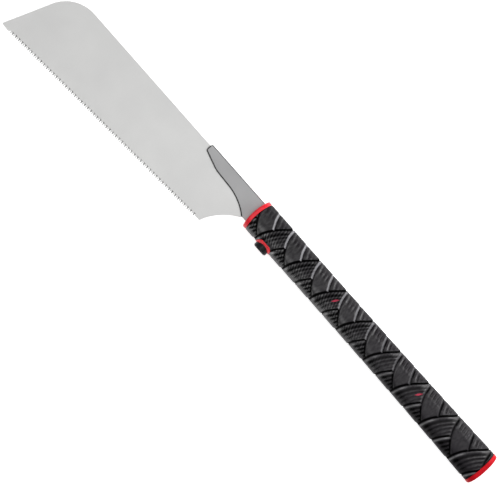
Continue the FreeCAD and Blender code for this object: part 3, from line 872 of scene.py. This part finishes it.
def make_floor():
    """A pale table that is lit from below, so that the saw throws hardly any shadow."""
    nodes = Nodes("pale_floor")
    grain = nodes.noise(6.0, detail=2.0)
    color = nodes.ramp(grain, "Fac", ((0.3, (0.88, 0.88, 0.88)), (0.7, (0.90, 0.90, 0.90))))
    nodes.link(color, "Color", nodes.shader, "Base Color")
    nodes.link(color, "Color", nodes.shader, "Emission Color")
    nodes.shader.inputs["Emission Strength"].default_value = TABLE_GLOW
    nodes.shader.inputs["Roughness"].default_value = 0.9
    nodes.shader.inputs["Specular IOR Level"].default_value = 0.1
    bpy.ops.mesh.primitive_plane_add(size=40.0, location=(0, 0, cad_box[0][2]))
    floor = bpy.context.object
    floor.name = "floor"
    wear(floor, nodes.material)


def area_light(name, place, aim, size, radiance):
    """A softbox of the given radiance; its size is in metres."""
    light = bpy.data.lights.new(name, "AREA")
    light.shape = "RECTANGLE"
    light.size, light.size_y = size
    light.energy = radiance * math.pi * size[0] * size[1]
    lamp = bpy.data.objects.new(name, light)
    bpy.context.scene.collection.objects.link(lamp)
    lamp.location = placed(place)
    direction = Vector(placed(aim)) - lamp.location
    lamp.rotation_euler = direction.to_track_quat("-Z", "Y").to_euler()


def make_world():
    """A room that is pale at the horizon and dim overhead, beyond the softbox."""
    world = bpy.data.worlds.new("studio")
    world.use_nodes = True
    tree = world.node_tree
    coordinates = tree.nodes.new("ShaderNodeTexCoord")
    axes = tree.nodes.new("ShaderNodeSeparateXYZ")
    ramp = tree.nodes.new("ShaderNodeValToRGB")
    for _ in ROOM_STOPS[2:]:
        ramp.color_ramp.elements.new(0.5)
    for element, (height, grey) in zip(ramp.color_ramp.elements, ROOM_STOPS):
        element.position = height
        element.color = (grey, grey, grey, 1)
    background = tree.nodes["Background"]
    tree.links.new(coordinates.outputs["Generated"], axes.inputs["Vector"])
    tree.links.new(axes.outputs["Z"], ramp.inputs["Fac"])
    tree.links.new(ramp.outputs["Color"], background.inputs["Color"])
    bpy.context.scene.world = world


def make_lights():
    make_world()
    area_light("overhead", OVERHEAD_PLACE, (0, 0, 0), OVERHEAD_SIZE, OVERHEAD_RADIANCE)
    area_light("key", KEY_PLACE, KEY_AIM, KEY_SIZE, KEY_RADIANCE)


def make_camera():
    data = bpy.data.cameras.new("camera")
    data.sensor_width = SENSOR_MM
    data.lens = SENSOR_MM * CAMERA_HEIGHT / PICTURE_WIDTH
    data.clip_end = 50.0
    camera = bpy.data.objects.new("camera", data)
    bpy.context.scene.collection.objects.link(camera)
    camera.location = placed(LOOK_AT) + np.array([0, 0, CAMERA_HEIGHT])
    camera.rotation_euler = (0, 0, math.radians(PICTURE_TURN))
    bpy.context.scene.camera = camera


# ------------------------------------------------------------------ putting it together

make_camera()
make_lights()
make_floor()

grip = make_grip()
cut_knob_hole(grip)
cut_windows(grip)
bezel = make_bezel()
knob = make_knob()
collar = make_collar()
cap = make_cap()

# The blade carries painted contact shade where the holder rests on it.
blade_steel = steel("blade_ground_steel", (0.735, 0.735, 0.73), (0.835, 0.835, 0.825), 0.40,
                    (1.0, 0.03, 1.0), 2600.0, 0.10, CONTACT_SHADE_REACH)
# The holder's steep edge faces carry painted shade.
holder_steel = steel("holder_brushed_steel", (0.39, 0.39, 0.395), (0.54, 0.54, 0.545), 0.42,
                     (0.04, 1.0, 1.0), 2600.0, 0.15, painted_edge_shade=True)
hardware_steel = steel("zinc_hardware", (0.48, 0.48, 0.50), (0.62, 0.62, 0.63), 0.35,
                       (1.0, 1.0, 1.0), 900.0, 0.10)
red_plastic = moulded_plastic("red_moulding", (0.94, 0.014, 0.030), (1.0, 0.018, 0.036), 0.30, 0.00005)
black_plastic = moulded_plastic("black_moulding", (0.004, 0.004, 0.005), (0.008, 0.008, 0.009), 0.14,
                                0.00003, 0.35)
rubber = wrapped_rubber()

# A darker copy of the red moulding for the core that shows in the recessed windows: painted shade.
shaded_window_red = moulded_plastic("shaded_window_red", (0.34, 0.006, 0.035), (0.42, 0.008, 0.045), 0.45, 0.00005)
# A darker, less shiny copy of the red moulding for the butt cap: painted shade.
shaded_cap_red = moulded_plastic("shaded_cap_red", (0.50, 0.003, 0.009), (0.56, 0.005, 0.013), 0.34, 0.00005, 0.1)

nodes_by_material = (
    (blade_steel, ("saw_blade",)),
    (holder_steel, ("blade_holder",)),
    (hardware_steel, ("stop_pin", "holder_pins", "clamp_screw", "clamp_shoe", "clamp_nut")),
    (shaded_window_red, ("core_shell_upper", "core_shell_lower")),
    (red_plastic, ("front_collar", "knob_bezel")),
    (shaded_cap_red, ("butt_cap",)),
    (black_plastic, ("clamp_knob",)),
    (rubber, ("grip_sleeve",)),
)
for material, names in nodes_by_material:
    for name in names:
        wear(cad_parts[name], material)
for piece, material in ((grip, rubber), (bezel, red_plastic), (collar, red_plastic), (cap, shaded_cap_red),
                        (knob, black_plastic)):
    wear(piece, material)

soften_edges(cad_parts["blade_holder"], SHEET_BEVEL)

bpy.context.scene.view_settings.view_transform = "Standard"
